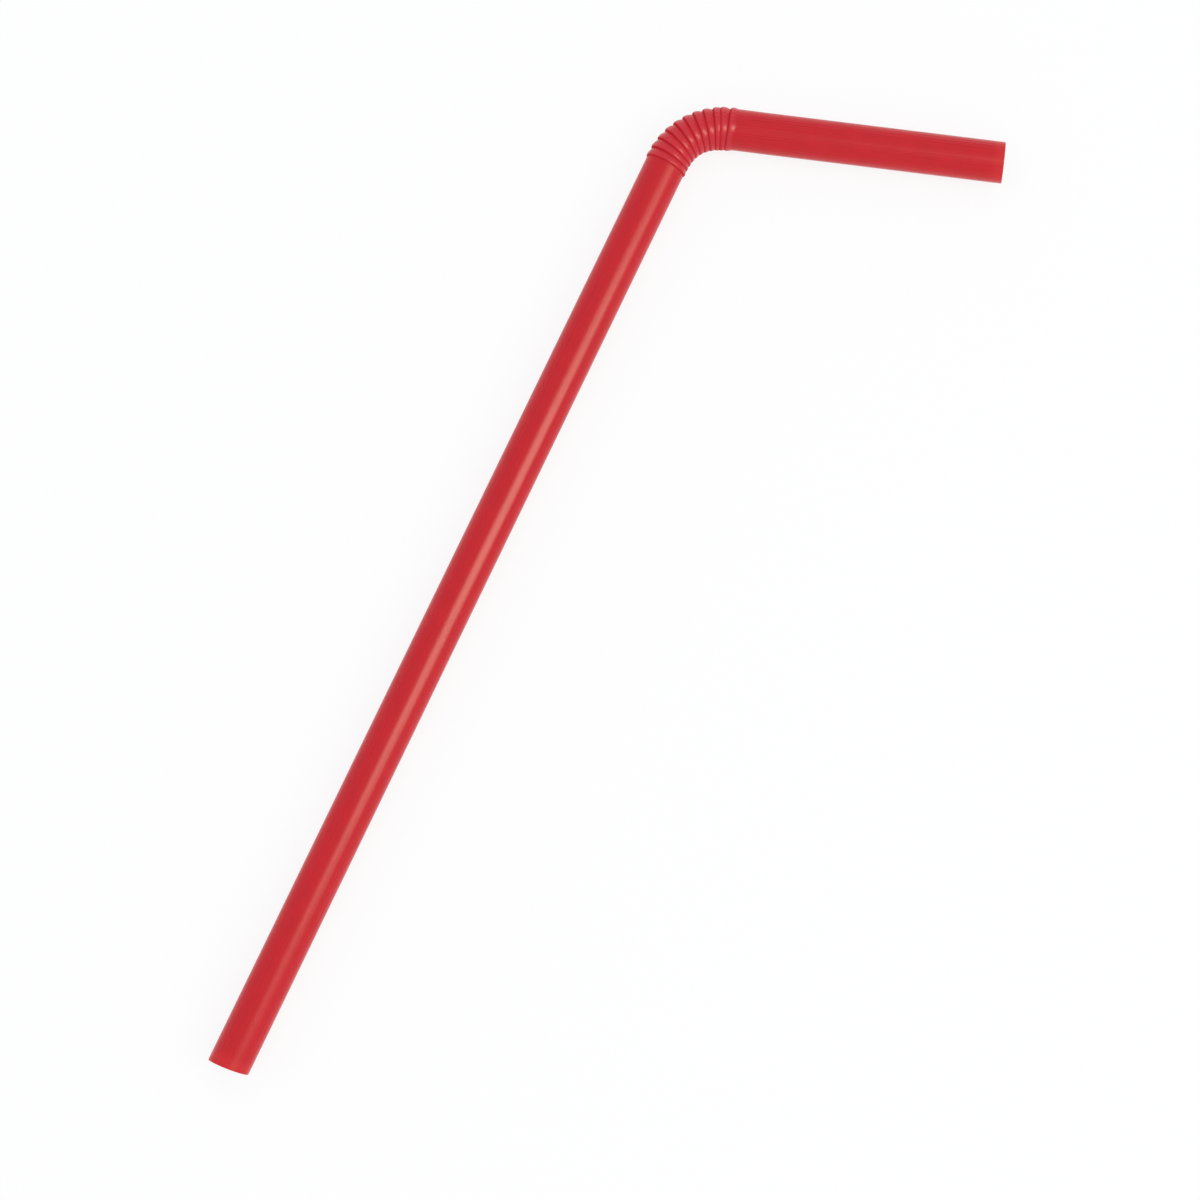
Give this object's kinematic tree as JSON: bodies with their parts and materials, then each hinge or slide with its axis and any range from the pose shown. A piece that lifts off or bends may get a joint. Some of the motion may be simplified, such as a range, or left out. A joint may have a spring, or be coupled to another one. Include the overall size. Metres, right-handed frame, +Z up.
{
  "type": "flexible drinking straw",
  "caption": "Thin plastic drinking tube with a pleated stretch that lets its short upper leg bend over to the mouth.",
  "frame": {"origin": "on the surface the straw lies on, at the middle of its outline seen from above", "axes": "+Y along the long leg towards the pleats, +X to the side the short leg bends to, +Z up from the surface"},
  "size_m": [0.0486, 0.168, 0.0063],
  "materials": {
    "red_polypropylene": "extruded red polypropylene with a soft satin surface, slightly translucent"
  },
  "bodies": {
    "root": {"straw": "red_polypropylene"}
  },
  "joints": []
}
